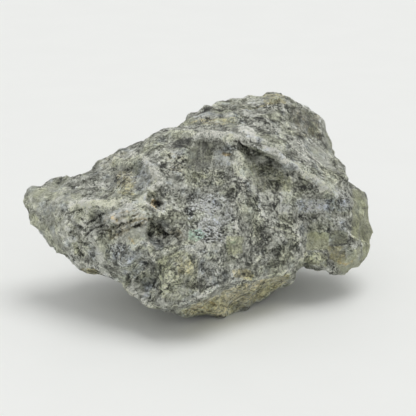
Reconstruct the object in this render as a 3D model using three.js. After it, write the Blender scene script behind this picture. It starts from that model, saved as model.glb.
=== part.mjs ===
// A rough emerald: one broken lump of grey-green beryl in mica schist, as it comes from the mine.
// It is a single piece, so it is a single solid. Millimetres, +Z up, standing on its own small worn foot.
//
// The stone is described by its ridges, edges, cracks and hollows. The skin is stretched between them,
// divided finely, broken into small scars, and worn a little.
import * as THREE from "three";
import { ConvexHull } from "three/addons/math/ConvexHull.js";
import { SimplexNoise } from "three/addons/math/SimplexNoise.js";

// The visible side was surveyed by eye from one standpoint, looking slightly down at the stone.
const standpoint = { distance: 200, lookingDown: 20 };
// Height of the line of sight above the surface that the stone stands on, where it crosses the stone.
const sightHeight = 15.7;
// Place on the visible side, [right, up], from which the whole outline can be seen.
const middle = [2, 2];

// Each surveyed point is [right, up, away] in millimetres from where the line of sight crosses the stone.
// The outline is followed clockwise, beginning at the thin left tip.
const outline = [
  [-31.6, 1.7, 0], [-30.5, 3.3, 0.5], [-28, 4, 1], [-25.2, 5, 1.5], [-22.7, 5.6, 2],
  [-20, 6.6, 2.5], [-17.8, 8, 3], [-15.7, 10, 3.5], [-13, 10.6, 4], [-10.8, 12, 4],
  [-8.2, 13.1, 5], [-5, 14.1, 6], [-3.4, 14.9, 7.5], [-2.5, 15.9, 9], [-1, 17, 10],
  [0.6, 18.2, 11], [3.8, 18.6, 11.5], [6.8, 19.4, 12], [9.7, 19.5, 12], [12.6, 19.4, 11.5],
  [14.4, 18.4, 11.5], [16.5, 17.2, 13], [19, 16.1, 14], [20.6, 14.3, 14.5], [21.3, 11.5, 14],
  [22, 8.4, 13], [22.8, 6.8, 12], [23.8, 4, 9.5], [26.9, 2.9, 7.5], [27.4, 0, 7],
  [27.5, -4, 6.5], [27.4, -6.9, 6], [25.7, -9.3, 3.6], [22.9, -11.8, 1.8],
  [21, -10.9, 0.4], [19.5, -9.9, -0.4], [16.7, -9.6, -0.9], [14.9, -10.4, -0.8], [13.6, -12.7, 2],
  [11.4, -14.5, 3.5], [7.6, -15.8, 0], [4.1, -17.2, -2], [2.8, -18.2, -3.8], [0.7, -18.2, -4],
  [-1.2, -18, -5], [-4.3, -18.2, -6.5], [-6.2, -17.3, -8.5], [-10.7, -17.1, -12],
  [-12.9, -15, -10.5], [-14.5, -12.7, -8], [-17.1, -11.8, -6], [-19.6, -10.4, -4.5],
  [-22, -10.8, -3], [-23.4, -9.5, -3.5], [-25.2, -7.3, -2.5], [-27, -5, -1.5],
  [-28.7, -2.9, -1], [-30.3, -0.3, -0.5],
];

// The white seam is a ridge that runs in from the left tip, turns up and meets the outline.
const whiteSeam = [
  [-24.7, 0.8, -4.8], [-21.3, 0.9, -7], [-17, 1, -9.2], [-13.5, 1, -11], [-10.8, 1.8, -12.3],
  [-9.3, 3.5, -12], [-8.3, 4.8, -11], [-9.3, 6.7, -8.8], [-11, 8.3, -6], [-12.5, 9.4, -2.5],
];
const upperLeftCrest = [[-17.3, 7.2, 0.2], [-15.7, 6.4, -2.4], [-15.3, 4.4, -5], [-15, 2.6, -7.4]];
const upperLeftHollows = [
  [-26.3, 3, -2], [-23, 3.6, -2.4], [-20, 4.2, -1.9], [-18.4, 3.4, -3.4], [-20.6, 2.2, -4.4],
  [-12.6, 6.2, -3.4], [-11.5, 4.6, -6.6], [-12.9, 3.2, -7.4], [-17.4, 5, -2.6],
];
const leftWedge = [
  [-28, -0.7, -3.2], [-24.6, -1.2, -5.8], [-25.7, -4.3, -4.4], [-22.4, -5.3, -6.9],
  [-21.5, -2.6, -7.8], [-21.6, -8.3, -5.2], [-18.9, -6.8, -8.6], [-18.9, -9.9, -6.3],
  [-16.2, -10.6, -8.8], [-19.6, -4.3, -9.2],
];
// The dark crack above the brown lump.
const lumpCrack = [[-20.2, -1, -6.6], [-18.6, -1.7, -7.4], [-17.2, -2.8, -8.2]];
// The brown lump stands over a deep pit, with a smoother knee of rock below it.
const lumpTop = [[-17.4, -0.4, -10.6], [-14, -0.5, -12.6], [-10.6, -0.6, -13.6], [-8.2, -1.4, -13.6]];
const lumpEdge = [[-16.9, -4.9, -10.9], [-14.6, -3.9, -12.8], [-12.4, -2.7, -13.9], [-10, -1.9, -14]];
const knee = [
  [-15.8, -6.4, -11.8], [-13, -4.6, -12.9], [-10.6, -4.2, -13.3], [-14, -7.2, -13.2],
  [-11.4, -6.2, -13.9], [-16.4, -8.6, -11.2], [-13.6, -9.6, -12.9], [-11, -8.3, -13.2],
];
const kneeGroove = [[-12.4, -11.2, -10.8], [-10.6, -11, -9.9], [-9.6, -12.6, -9.7], [-10, -14.4, -10.2]];
const pitRim = [
  [-9.9, -5.4, -13.2], [-9.9, -3.4, -13.4], [-8.6, -2.1, -13.2], [-6.6, -2.2, -12.2],
  [-4.9, -3.3, -12.2], [-3.9, -4.8, -12.8], [-4.2, -6.2, -13.7], [-7.2, -6.1, -13.8],
];
const pitFloor = [[-8.9, -3.5, -8.2], [-7.6, -4.3, -7.6], [-6, -4.2, -8.2], [-5.3, -5, -9.4]];
// The boss is the nearest part of the stone, low in the middle, above the front edge.
const bossTop = [[-9.6, -8.2, -13.4], [-7.6, -7.3, -15], [-4.6, -7.2, -15.6], [-1.6, -7.9, -15.2]];
const boss = [
  [-6.3, -9.2, -16.8], [-3.2, -10, -16.9], [-7.2, -11.8, -16.5], [-3.9, -13, -16.2],
  [-7.6, -14.4, -15], [-5, -15, -15],
];
const bossGroove = [[-0.9, -9.4, -13.6], [-0.5, -11, -13.1], [-1.3, -12.8, -13.1]];
const frontEdge = [
  [-8.8, -16.3, -13.6], [-7.2, -16.5, -13.9], [-3.7, -16, -14], [-1.3, -14.8, -14.2],
  [0.7, -13.5, -14.2], [2.8, -12.7, -12.7], [5.3, -12, -11], [8.3, -11.7, -8.5],
  [11.2, -11, -5.8], [13.7, -10.2, -3.9], [15, -9.3, -3.2],
];
// Below the front edge the stone is undercut, down to the foot.
const undercut = [[-3.2, -17, -9.6], [0.4, -15.8, -8.4], [4, -14.6, -7], [8, -13.6, -4.4], [11.6, -12.4, -1.2]];
// The scoop is a shallow bowl of silvery mica in the middle of the front.
const scoopRim = [
  [-7.3, 0.4, -12.2], [-7, 2.6, -11], [-5.4, -0.8, -12.6], [-3.2, -2.8, -12.9], [-2, -4.7, -13.4],
  [-0.6, -6.6, -14.2], [1.4, -7.6, -14.5], [3.4, -6, -13.4], [4.4, -4, -12.9], [4.8, -1.6, -12.6],
  [4.4, 0.6, -11.9], [3.4, 2.2, -11.1],
];
const scoopFloor = [
  [-4, 0.6, -11], [-1.6, 1.6, -10.2], [1, 1.4, -10.3], [-2.2, -0.8, -11.2], [0.6, -1.2, -11.2],
  [2.8, -1.4, -11.2], [0.2, -3.6, -12.1], [2.4, -4, -12.1],
];
const brownNick = [[-8.9, 2.2, -9.6], [-8.4, 1, -9.8]];
const upperFront = [
  [-5.6, 4.6, -9.6], [-3, 5.6, -8.6], [-0.6, 4.2, -9], [2.2, 4.6, -8.6], [-6.4, 7.6, -7.9],
  [-3.4, 8, -6.9], [-0.4, 7.6, -6.7], [2.2, 7.4, -6.9], [-6, 10, -5.4], [-3.4, 10.3, -4.9],
  [-0.4, 10.2, -5.1], [2, 10, -5.8], [-7.9, 9.4, -5.9], [4.6, 8.6, -7.2], [5, 5.8, -8.9],
];
// The brow is the crest between the front and the top.
const brow = [
  [-9.7, 11.7, -0.6], [-6, 12.4, -2.2], [-3, 12.3, -4], [0.3, 12.3, -5.2], [3.7, 12, -6.3],
];
// Right of the brow, a slab of schist lies on top, with a lip that stands out over a crack.
const slabLip = [
  [5, 11.7, -7], [7, 10.4, -7.6], [9, 9.4, -7.8], [11.2, 8.5, -7.7], [13.7, 7.1, -6.9],
  [16.2, 5.6, -6.1], [19, 3.9, -5.1], [21.2, 2.6, -4.2], [23.4, 1.4, -2.1],
];
const underLip = [[5.6, 10.2, -4.4], [7.2, 9, -4], [9.2, 8, -3.8], [11.3, 7, -3.5], [13.5, 5.7, -3.9]];
const underLipFace = [
  [8.6, 6, -4.8], [11.2, 5.2, -4.7], [8.4, 3.8, -5.9], [12.4, 3.4, -5.4], [16, 4, -4.4], [18.8, 2.4, -3.5],
];
const slabTop = [
  [5.6, 13.4, -4.6], [8.6, 12.2, -4.4], [11, 10.9, -4.8], [13.4, 9.4, -4.8], [16, 7.6, -4],
  [19, 5.8, -2.8], [21.8, 4, -1.4],
];
const paleEdge = [
  [11.5, 15.8, 5.4], [13.3, 13.7, 2.6], [14.7, 11.2, 0], [16.3, 9.3, -1.5], [18.3, 7.7, -1.8],
  [20.7, 6, -1.4], [22.6, 4.8, 0],
];
const behindPaleEdge = [[14.6, 14.2, 6.6], [16.4, 11.4, 4.6], [18.2, 9.4, 4], [20.4, 7.6, 4.6]];
const topField = [
  [-1.4, 13.9, -0.4], [2, 15.5, 3.6], [5.4, 16.2, 5], [8.8, 17.4, 8], [7.6, 14.8, 1.4],
  [4, 13.8, -1.6], [-4, 13.2, 1.4], [1, 13.6, -1.8],
];
const farRightHollow = [[14.2, 16.4, 9], [16.2, 14.2, 9.4], [18.2, 12.2, 10.2], [19.2, 10, 8.2], [18.6, 14, 11.6]];
const rightFront = [
  [6.4, 2.4, -8.7], [9, 1.6, -7.4], [12, 1.6, -5.8], [9.2, -0.8, -8.2], [15, 1.4, -4.9],
  [17.4, 1.4, -3.9], [19.4, 0, -3.7], [6.8, -2.4, -10.3], [11.4, -2.8, -6.3], [14, -1.2, -5.4],
  [12.8, -5.6, -6.1], [9, -6.4, -8.9], [5.8, -6.4, -11.1], [12.4, -8.2, -5.8], [8.6, -9.2, -9.1],
  [4.8, -9.2, -11.7], [1.6, -10.4, -13.8], [21.8, 0.4, -2.9],
];
// A pale step parts the front from the olive horn, which juts out low on the right, further back.
const stepEdge = [
  [15.1, -2.6, -4.8], [15.3, -4.5, -4.7], [15.4, -6.4, -4.5], [16.1, -7.8, -3.8], [15.4, -8.7, -3.4],
];
const stepFoot = [[16.4, -2.4, -2.9], [16.7, -4.4, -2.3], [17.1, -6.5, -2.3], [17.5, -8.2, -2.4]];
const horn = [
  [18.6, -1.4, -2.9], [20.8, -2.4, -2.4], [18.8, -4.6, -2.2], [21.2, -5, -2.2], [19.2, -7, -1.9],
  [21.4, -7.6, -1.8], [19.8, -8.9, -1.7], [22.6, -9.6, -0.8], [24.4, -7.8, 0],
  [16.7, -8.9, -2.2], [18.4, -9.3, -1.7], [20.4, -10.1, -0.9],
];
const cornerEdge = [
  [23.8, 0.6, -3], [23.6, -1.2, -2.9], [22.9, -3.2, -2.8], [24, -4.7, -1.6], [26, -6, 2],
];
const oliveFace = [[25.2, 1.2, 2], [25.5, -1.2, 3.8], [25.7, -3.6, 4.6]];

// The far side and the underside are guesses: [x, y, z] in millimetres, above the surface stood on.
const farSide = [
  [13, 20, 24], [4, 20, 22.5], [-4, 15.5, 23], [-11, 12, 17.5], [-19, 7.5, 17.5], [-26, 4.5, 14.5],
  [16, 19, 15], [7, 20.5, 14], [-4, 17, 12], [-14, 11.5, 10.5], [-22, 6, 11], [20.5, 15, 16.5],
  [23.5, 12.5, 13.5], [24, 11, 8.5], [14, 15.5, 6.5], [3, 15.5, 5.5], [-6, 12, 4.5], [-15, 6, 6.5],
  [19, 12, 6], [9, 14.5, 20], [-8, 11.5, 20.5], [12, 18, 10.5], [-9.5, 14, 13.5],
];
const underside = [
  [-14, -5, 5.4], [-20, -1, 8.2], [-26, 0, 11.8], [-12.5, -8.5, 5.2], [12.5, 3, 2.4], [16.5, 4.5, 4.4],
  [21, 5, 4.8], [14, 9, 3.4], [23.5, 7.5, 7.4],
];
// The foot lies slightly below the surface at first, and is then worn flat.
const foot = [
  [-6, -6.5, 0], [-2, -8.6, -0.2], [3, -9.2, -0.3], [7, -5, -0.2], [8.6, 1.5, -0.2], [4.5, 7, -0.2],
  [-3.5, 6.5, -0.2], [-8, 0, -0.1], [0.5, -1, -0.6],
];

// Sizes that rule how the skin is worked.
const skin = {
  pointSpacing: 2.2, // longest step between the points along a ridge or an edge
  coarseEdge: 3.2, // longest edge of the skin while the big scars are made
  fineEdge: 1.97, // longest edge of the finished skin
  foldLimit: 0.25, // a point is folded where the cosine between its normal and a triangle's is less
  foldRounds: 14, // how often the folded points are looked for and eased
  foldShare: 0.6, // how far a folded point moves towards its neighbours each time
  wear: 0.16, // how far each point moves towards its neighbours at last
};
// Scars are hollow flakes struck from the stone: steepness is their slant, hollow how far they dip.
const bigScars = { size: 9, steepness: 0.8, hollow: 0.55, seed: 5 };
const scars = { size: 4.4, steepness: 0.62, hollow: 0.4, seed: 7 };
const grain = { size: 1.9, depth: 0.16 };

// Turns a surveyed point into the stone's own axes, allowing for the standpoint's perspective.
function surveyed([right, up, away]) {
  const spread = (standpoint.distance + away) / standpoint.distance;
  const tilt = THREE.MathUtils.degToRad(standpoint.lookingDown);
  const height = up * spread;
  return new THREE.Vector3(
    right * spread,
    height * Math.sin(tilt) + away * Math.cos(tilt),
    sightHeight + height * Math.cos(tilt) - away * Math.sin(tilt),
  );
}

// The way back: where a point of the stone is seen from the standpoint.
function sighted({ x, y, z }) {
  const tilt = THREE.MathUtils.degToRad(standpoint.lookingDown);
  const away = y * Math.cos(tilt) - (z - sightHeight) * Math.sin(tilt);
  const height = y * Math.sin(tilt) + (z - sightHeight) * Math.cos(tilt);
  const spread = (standpoint.distance + away) / standpoint.distance;
  return [x / spread, height / spread, away];
}

// Puts points between the given ones, so that the skin must follow the whole line.
function followed(line) {
  return line.flatMap((point, i) => {
    if (i === line.length - 1) return [point];
    const next = line[i + 1];
    const length = Math.hypot(...point.map((value, axis) => next[axis] - value));
    const steps = Math.ceil(length / skin.pointSpacing);
    return Array.from({ length: steps }, (_, step) =>
      point.map((value, axis) => value + ((next[axis] - value) * step) / steps),
    );
  });
}

// How far the outline is from the middle in a given direction.
function outlineReach(angle) {
  const [dx, dy] = [Math.cos(angle), Math.sin(angle)];
  let reach = 0;
  outline.forEach(([ax, ay], i) => {
    const [bx, by] = outline[(i + 1) % outline.length];
    const [ex, ey] = [bx - ax, by - ay];
    const [px, py] = [ax - middle[0], ay - middle[1]];
    const across = dx * ey - dy * ex;
    if (across === 0) return;
    const along = (px * ey - py * ex) / across;
    const share = (px * dy - py * dx) / across;
    if (share >= 0 && share <= 1) reach = Math.max(reach, along);
  });
  return reach;
}

// Where a point lies on a ball whose near half is the visible side and whose edge is the outline.
function onBall([right, up], nearness) {
  const [px, py] = [right - middle[0], up - middle[1]];
  const angle = Math.atan2(py, px);
  const share = Math.min(Math.hypot(px, py) / outlineReach(angle), nearness === 0 ? 1 : 0.985);
  const polar = nearness === 0 ? Math.PI / 2 : (share * Math.PI) / 2;
  return new THREE.Vector3(
    Math.sin(polar) * Math.cos(angle),
    -nearness * Math.cos(polar),
    Math.sin(polar) * Math.sin(angle),
  );
}

// Stretches a closed skin over the points: neighbours on the ball are neighbours on the stone.
function stretchSkin(sites) {
  const numberOf = new Map(sites.map(({ ball }, i) => [ball, i]));
  const hull = new ConvexHull().setFromPoints(sites.map(({ ball }) => ball));
  const triangles = hull.faces.map(({ edge }) =>
    [edge, edge.next, edge.prev].map((e) => numberOf.get(e.head().point)),
  );
  return { points: sites.map(({ place }) => place), triangles };
}

// Halves every edge longer than the limit, over and over, and keeps the skin closed.
function divide({ points, triangles }, longest) {
  for (;;) {
    const middles = new Map();
    const middleOf = (a, b) => {
      const key = a < b ? `${a} ${b}` : `${b} ${a}`;
      if (!middles.has(key)) {
        const long = points[a].distanceTo(points[b]) > longest;
        middles.set(key, long ? points.push(points[a].clone().lerp(points[b], 0.5)) - 1 : -1);
      }
      return middles.get(key);
    };
    triangles = triangles.flatMap(([a, b, c]) => splitTriangle(a, b, c, middleOf));
    flipThinPairs(points, triangles);
    if (![...middles.values()].some((found) => found >= 0)) return { points, triangles };
  }
}

function splitTriangle(a, b, c, middleOf) {
  const ab = middleOf(a, b);
  const bc = middleOf(b, c);
  const ca = middleOf(c, a);
  const count = [ab, bc, ca].filter((found) => found >= 0).length;
  if (count === 0) return [[a, b, c]];
  if (count === 3) return [[a, ab, ca], [ab, b, bc], [ca, bc, c], [ab, bc, ca]];
  if (count === 1) {
    if (ab >= 0) return [[a, ab, c], [ab, b, c]];
    if (bc >= 0) return [[b, bc, a], [bc, c, a]];
    return [[c, ca, b], [ca, a, b]];
  }
  if (ab < 0) return [[c, ca, bc], [ca, a, bc], [a, b, bc]];
  if (bc < 0) return [[a, ab, ca], [ab, b, ca], [b, c, ca]];
  return [[b, bc, ab], [bc, c, ab], [c, a, ab]];
}

const facing = (a, b, c) => b.clone().sub(a).cross(c.clone().sub(a)).normalize();
const cornerAngle = (corner, a, b) => a.clone().sub(corner).angleTo(b.clone().sub(corner));

// Two thin neighbours that lie nearly flat share their other diagonal instead.
function flipThinPairs(points, triangles) {
  const opposite = new Map();
  triangles.forEach((corners, t) => {
    corners.forEach((a, i) => opposite.set(`${a} ${corners[(i + 1) % 3]}`, [t, corners[(i + 2) % 3]]));
  });
  const done = new Set();
  for (const [edge, [t, c]] of opposite) {
    const [a, b] = edge.split(" ").map(Number);
    const [u, d] = opposite.get(`${b} ${a}`);
    if (t > u || done.has(t) || done.has(u) || opposite.has(`${c} ${d}`) || opposite.has(`${d} ${c}`)) continue;
    const [pa, pb, pc, pd] = [a, b, c, d].map((i) => points[i]);
    if (cornerAngle(pc, pa, pb) + cornerAngle(pd, pa, pb) < Math.PI * 1.01) continue;
    const before = facing(pa, pb, pc);
    const flat = before.dot(facing(pa, pd, pb)) > 0.85;
    if (!flat || before.dot(facing(pa, pd, pc)) < 0.8 || before.dot(facing(pd, pb, pc)) < 0.8) continue;
    triangles[t] = [a, d, c];
    triangles[u] = [d, b, c];
    done.add(t).add(u);
  }
}

// Eases the skin: each point moves a given share of the way to the middle of its neighbours.
function wearDown({ points, triangles }, shareOf) {
  const around = points.map(() => new Set());
  for (const [a, b, c] of triangles) {
    around[a].add(b).add(c);
    around[b].add(c).add(a);
    around[c].add(a).add(b);
  }
  const centres = around.map((near) => {
    const sum = new THREE.Vector3();
    near.forEach((i) => sum.add(points[i]));
    return sum.divideScalar(near.size);
  });
  points.forEach((p, i) => p.lerp(centres[i], shareOf(i)));
}

function normalsOf({ points, triangles }) {
  const normals = points.map(() => new THREE.Vector3());
  const [p, q] = [new THREE.Vector3(), new THREE.Vector3()];
  for (const [a, b, c] of triangles) {
    p.subVectors(points[b], points[a]).cross(q.subVectors(points[c], points[a]));
    [a, b, c].forEach((i) => normals[i].add(p));
  }
  return normals.map((n) => n.normalize());
}

// Opens the folds where the skin would run through itself, by easing only the points in them.
function openFolds(mesh) {
  for (let round = 0; round < skin.foldRounds; round++) {
    const normals = normalsOf(mesh);
    const folded = new Set();
    for (const corners of mesh.triangles) {
      const normal = facing(...corners.map((i) => mesh.points[i]));
      corners.filter((i) => normals[i].dot(normal) < skin.foldLimit).forEach((i) => folded.add(i));
    }
    wearDown(mesh, (i) => (folded.has(i) ? skin.foldShare : 0));
  }
}

// Height of a flaked surface at a point: every scar is a slanting hollow round its own middle,
// and the deepest of the nearest scars shows.
function scarHeight(p, { size, steepness, hollow, seed }) {
  const at = p.clone().divideScalar(size);
  const cell = at.clone().floor();
  let lowest = Infinity;
  for (let dx = -1; dx <= 1; dx++)
    for (let dy = -1; dy <= 1; dy++)
      for (let dz = -1; dz <= 1; dz++) {
        const home = new THREE.Vector3(cell.x + dx, cell.y + dy, cell.z + dz);
        THREE.MathUtils.seededRandom(seed + home.x * 131 + home.y * 1373 + home.z * 9973);
        const random = () => THREE.MathUtils.seededRandom();
        const centre = home.add(new THREE.Vector3(random(), random(), random()));
        const slant = new THREE.Vector3(random() - 0.5, random() - 0.5, random() - 0.5);
        const away = at.clone().sub(centre);
        lowest = Math.min(lowest, slant.dot(away) * steepness + away.lengthSq() * hollow);
      }
  return (lowest - 0.1) * size;
}

// Strikes the big scars from the far side, where no survey gives the shape.
function breakFarSide(mesh) {
  const tilt = THREE.MathUtils.degToRad(standpoint.lookingDown);
  const farwards = new THREE.Vector3(0, Math.cos(tilt), -Math.sin(tilt));
  const normals = normalsOf(mesh);
  mesh.points.forEach((p, i) => {
    const share = THREE.MathUtils.smoothstep(normals[i].dot(farwards), 0.15, 0.5);
    p.addScaledVector(normals[i], share * scarHeight(p, bigScars));
  });
}

// Breaks the whole skin into small scars and grain, along its normals.
function roughen(mesh) {
  let seed = 11;
  const noise = new SimplexNoise({ random: () => THREE.MathUtils.seededRandom(seed++) });
  const normals = normalsOf(mesh);
  mesh.points.forEach((p, i) => {
    const { x, y, z } = p.clone().divideScalar(grain.size);
    p.addScaledVector(normals[i], scarHeight(p, scars) + grain.depth * noise.noise3d(x, y, z));
  });
}

function makeStone() {
  const lines = [
    whiteSeam, upperLeftCrest, lumpCrack, lumpTop, lumpEdge, kneeGroove, pitRim, bossTop, bossGroove,
    frontEdge, undercut, scoopRim, brow, slabLip, underLip, slabTop, paleEdge, behindPaleEdge,
    stepEdge, stepFoot, cornerEdge,
  ].flatMap(followed);
  const spots = [
    upperLeftHollows, leftWedge, knee, pitFloor, boss, scoopFloor, brownNick, upperFront,
    underLipFace, topField, farRightHollow, rightFront, horn, oliveFace,
  ].flat();
  const sites = [
    ...followed([...outline, outline[0]]).slice(0, -1).map((p) => ({ place: surveyed(p), ball: onBall(p, 0) })),
    ...[...lines, ...spots].map((p) => ({ place: surveyed(p), ball: onBall(p, 1) })),
    ...[...farSide, ...underside, ...foot].map((p) => {
      const place = new THREE.Vector3(...p);
      return { place, ball: onBall(sighted(place), -1) };
    }),
  ];
  let mesh = divide(stretchSkin(sites), skin.coarseEdge);
  breakFarSide(mesh);
  mesh = divide(mesh, skin.fineEdge);
  roughen(mesh);
  openFolds(mesh);
  wearDown(mesh, () => skin.wear);
  // The foot is worn flat at the height of the surface that the stone stands on.
  mesh.points.forEach((p) => {
    p.z = Math.max(p.z, 0);
  });
  const geometry = new THREE.BufferGeometry();
  const positions = mesh.points.flatMap((p) => [p.x, p.y, p.z]);
  geometry.setAttribute("position", new THREE.Float32BufferAttribute(positions, 3));
  geometry.setIndex(mesh.triangles.flat());
  return geometry;
}

const material = new THREE.MeshStandardMaterial({ color: 0x82837a, roughness: 0.8, metalness: 0 });
const stone = new THREE.Mesh(makeStone(), material);
stone.name = "emerald_rough";

// The part's own axes meet under the middle of the stone, at the height of its foot.
const box = new THREE.Box3().setFromObject(stone);
const mid = box.getCenter(new THREE.Vector3());
stone.position.set(-mid.x, -mid.y, -box.min.z);

const roughEmerald = new THREE.Group();
roughEmerald.add(stone);

export default roughEmerald;
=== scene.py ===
import math
import bmesh
import bpy
import numpy as np
from mathutils import Matrix, Vector
from mathutils.bvhtree import BVHTree


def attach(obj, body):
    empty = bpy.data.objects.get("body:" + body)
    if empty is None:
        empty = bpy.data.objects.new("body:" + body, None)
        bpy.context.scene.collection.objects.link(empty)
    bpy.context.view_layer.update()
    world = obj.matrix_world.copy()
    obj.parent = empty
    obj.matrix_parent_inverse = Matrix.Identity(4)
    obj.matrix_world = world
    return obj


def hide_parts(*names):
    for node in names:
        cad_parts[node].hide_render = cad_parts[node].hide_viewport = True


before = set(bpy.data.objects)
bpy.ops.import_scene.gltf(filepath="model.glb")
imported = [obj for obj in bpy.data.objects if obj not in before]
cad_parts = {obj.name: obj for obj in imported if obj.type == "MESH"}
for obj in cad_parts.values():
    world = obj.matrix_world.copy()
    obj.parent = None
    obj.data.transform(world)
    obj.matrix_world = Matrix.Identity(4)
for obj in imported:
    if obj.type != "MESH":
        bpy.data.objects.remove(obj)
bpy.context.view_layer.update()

# The stone is looked at from one standpoint. Places on it are given in pixels of a picture
# 416 px square, and land on the stone along the line of sight.
sight = {
    "aim": Vector((0.001014, -0.001276, 0.0157)),  # where the middle line of sight crosses the stone, metres
    "distance": 0.2,
    "lookingDown": 20,  # degrees
    "pixelsPerMetre": 6000,
    "pictureSide": 416,
}
tilt = math.radians(sight["lookingDown"])
rightwards = Vector((1, 0, 0))
upwards = Vector((0, math.sin(tilt), math.cos(tilt)))
onwards = Vector((0, math.cos(tilt), -math.sin(tilt)))
eye = sight["aim"] - onwards * sight["distance"]


def lineOfSight(px, py):
    half = sight["pictureSide"] / 2
    across = (px - half) / sight["pixelsPerMetre"]
    down = (py - half) / sight["pixelsPerMetre"]
    return (onwards * sight["distance"] + rightwards * across - upwards * down).normalized()


def addNode(tree, kind, inputs=None, **settings):
    node = tree.nodes.new(kind)
    for name, value in settings.items():
        setattr(node, name, value)
    for name, value in (inputs or {}).items():
        if isinstance(value, bpy.types.NodeSocket):
            tree.links.new(value, node.inputs[name])
        else:
            node.inputs[name].default_value = value
    return node


def maths(tree, operation, a, b=0.0, c=0.0, clamp=False):
    node = addNode(tree, "ShaderNodeMath", {0: a, 1: b, 2: c}, operation=operation)
    node.use_clamp = clamp
    return node.outputs[0]


def vectorMaths(tree, operation, a, b=(0, 0, 0), scale=None):
    inputs = {0: a, 1: b}
    if scale is not None:
        inputs["Scale"] = scale
    node = addNode(tree, "ShaderNodeVectorMath", inputs, operation=operation)
    return node.outputs["Value" if operation in ("DOT_PRODUCT", "LENGTH") else "Vector"]


def ramp(tree, value, low, high, outLow=0.0, outHigh=1.0):
    node = addNode(tree, "ShaderNodeMapRange", {0: value, 1: low, 2: high, 3: outLow, 4: outHigh})
    node.interpolation_type = "SMOOTHSTEP"
    return node.outputs[0]


def mix(tree, share, a, b, blend="MIX"):
    node = addNode(tree, "ShaderNodeMix", data_type="RGBA", blend_type=blend)
    for socket, value in ((node.inputs[0], share), (node.inputs[6], a), (node.inputs[7], b)):
        if isinstance(value, bpy.types.NodeSocket):
            tree.links.new(value, socket)
        else:
            socket.default_value = value
    return node.outputs[2]


def noiseOf(tree, place, scale, detail=4.0, roughness=0.6):
    inputs = {"Vector": place, "Scale": scale, "Detail": detail, "Roughness": roughness}
    return addNode(tree, "ShaderNodeTexNoise", inputs).outputs[0]


# The skin is a finer copy of the solid, broken into flat chips, splinters and grain.
skin = {
    "step": 0.28,  # mm between the points of the fine skin
    "chips": {"size": 2.4, "steepness": 0.7, "hollow": 0.24, "depth": 0.66, "seed": 21},
    "splinters": {"size": 1.15, "steepness": 0.8, "hollow": 0.2, "depth": 0.5, "seed": 33},
    "nicks": {"size": 0.62, "steepness": 0.9, "hollow": 0.3, "depth": 0.32, "seed": 47},
    "grainSize": 0.55,  # mm
    "grainDepth": 0.018,
    "bladeDepth": 0.10,  # mm, thin blades of mica lying one on another
    "fibreDepth": 0.55,
    "fibreWay": (1.0, 0.3, 0.42),  # which way the fibres of the brown lump run
    "footGuard": 1.2,  # mm above the surface where the breaking reaches its full depth
}


# Turns what the modifiers make into the piece's own plain mesh.
def settle(piece):
    bpy.context.view_layer.update()
    graph = bpy.context.evaluated_depsgraph_get()
    result = piece.evaluated_get(graph)
    mesh = bpy.data.meshes.new_from_object(result, preserve_all_data_layers=True, depsgraph=graph)
    piece.modifiers.clear()
    old = piece.data
    piece.data = mesh
    bpy.data.meshes.remove(old)
    mesh.name = piece.name
    return piece


# The remesh works on a copy in millimetres, which then comes back to metres.
def fineCopy(node, name):
    work = bmesh.new()
    work.from_mesh(node.data)
    bmesh.ops.remove_doubles(work, verts=work.verts, dist=1e-6)
    mesh = bpy.data.meshes.new(name)
    work.to_mesh(mesh)
    work.free()
    mesh.transform(Matrix.Scale(1000, 4))
    piece = bpy.data.objects.new(name, mesh)
    bpy.context.scene.collection.objects.link(piece)
    remesh = piece.modifiers.new("evenSkin", "REMESH")
    remesh.mode = "VOXEL"
    remesh.voxel_size = skin["step"]
    remesh.use_smooth_shade = True
    settle(piece)
    piece.data.transform(Matrix.Scale(0.001, 4))
    return piece


stone = fineCopy(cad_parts["emerald_rough"], "stone")
pointCount = len(stone.data.vertices)
places = np.zeros(pointCount * 3, np.float32)
stone.data.vertices.foreach_get("co", places)
places = places.reshape(-1, 3).astype(float)
sightTree = BVHTree.FromObject(stone, bpy.context.evaluated_depsgraph_get())
print("fine skin:", pointCount, "points")


def landPoint(px, py):
    return sightTree.ray_cast(eye, lineOfSight(px, py))[0]


# The far side can't be seen from there: places on it are in mm along x and z, and land from behind.
def landBehind(x, z):
    return sightTree.ray_cast(Vector((x / 1000, 0.1, z / 1000)), Vector((0, -1, 0)))[0]


# Lands each step of a line on the stone.
def landPath(path, step, land):
    landed = []
    for (ax, ay), (bx, by) in zip(path, path[1:]):
        steps = max(1, round(math.hypot(bx - ax, by - ay) / step))
        for i in range(steps):
            landed.append(land(ax + (bx - ax) * i / steps, ay + (by - ay) * i / steps))
    landed.append(land(*path[-1]))
    return np.array([p for p in landed if p is not None])


# Lands a grid of places inside an area on the stone.
def landArea(corners, step, land):
    xs = [x for x, _ in corners]
    ys = [y for _, y in corners]
    landed = []
    for px in np.arange(min(xs), max(xs), step):
        for py in np.arange(min(ys), max(ys), step):
            inside = False
            for (ax, ay), (bx, by) in zip(corners, corners[1:] + corners[:1]):
                if (ay > py) != (by > py) and px < (bx - ax) * (py - ay) / (by - ay) + ax:
                    inside = not inside
            if inside:
                landed.append(land(px, py))
    return np.array([p for p in landed if p is not None])


# Lift is in mm, light is how much lighter or darker the rock is, and the others run from 0 to 1.
markNames = (
    "lift", "light", "crisp", "pale", "dark", "olive", "ochre", "rust",
    "umber", "blue", "silver", "mint", "smooth", "mica", "layered",
)
marks = {name: np.zeros(pointCount) for name in markNames}


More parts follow.
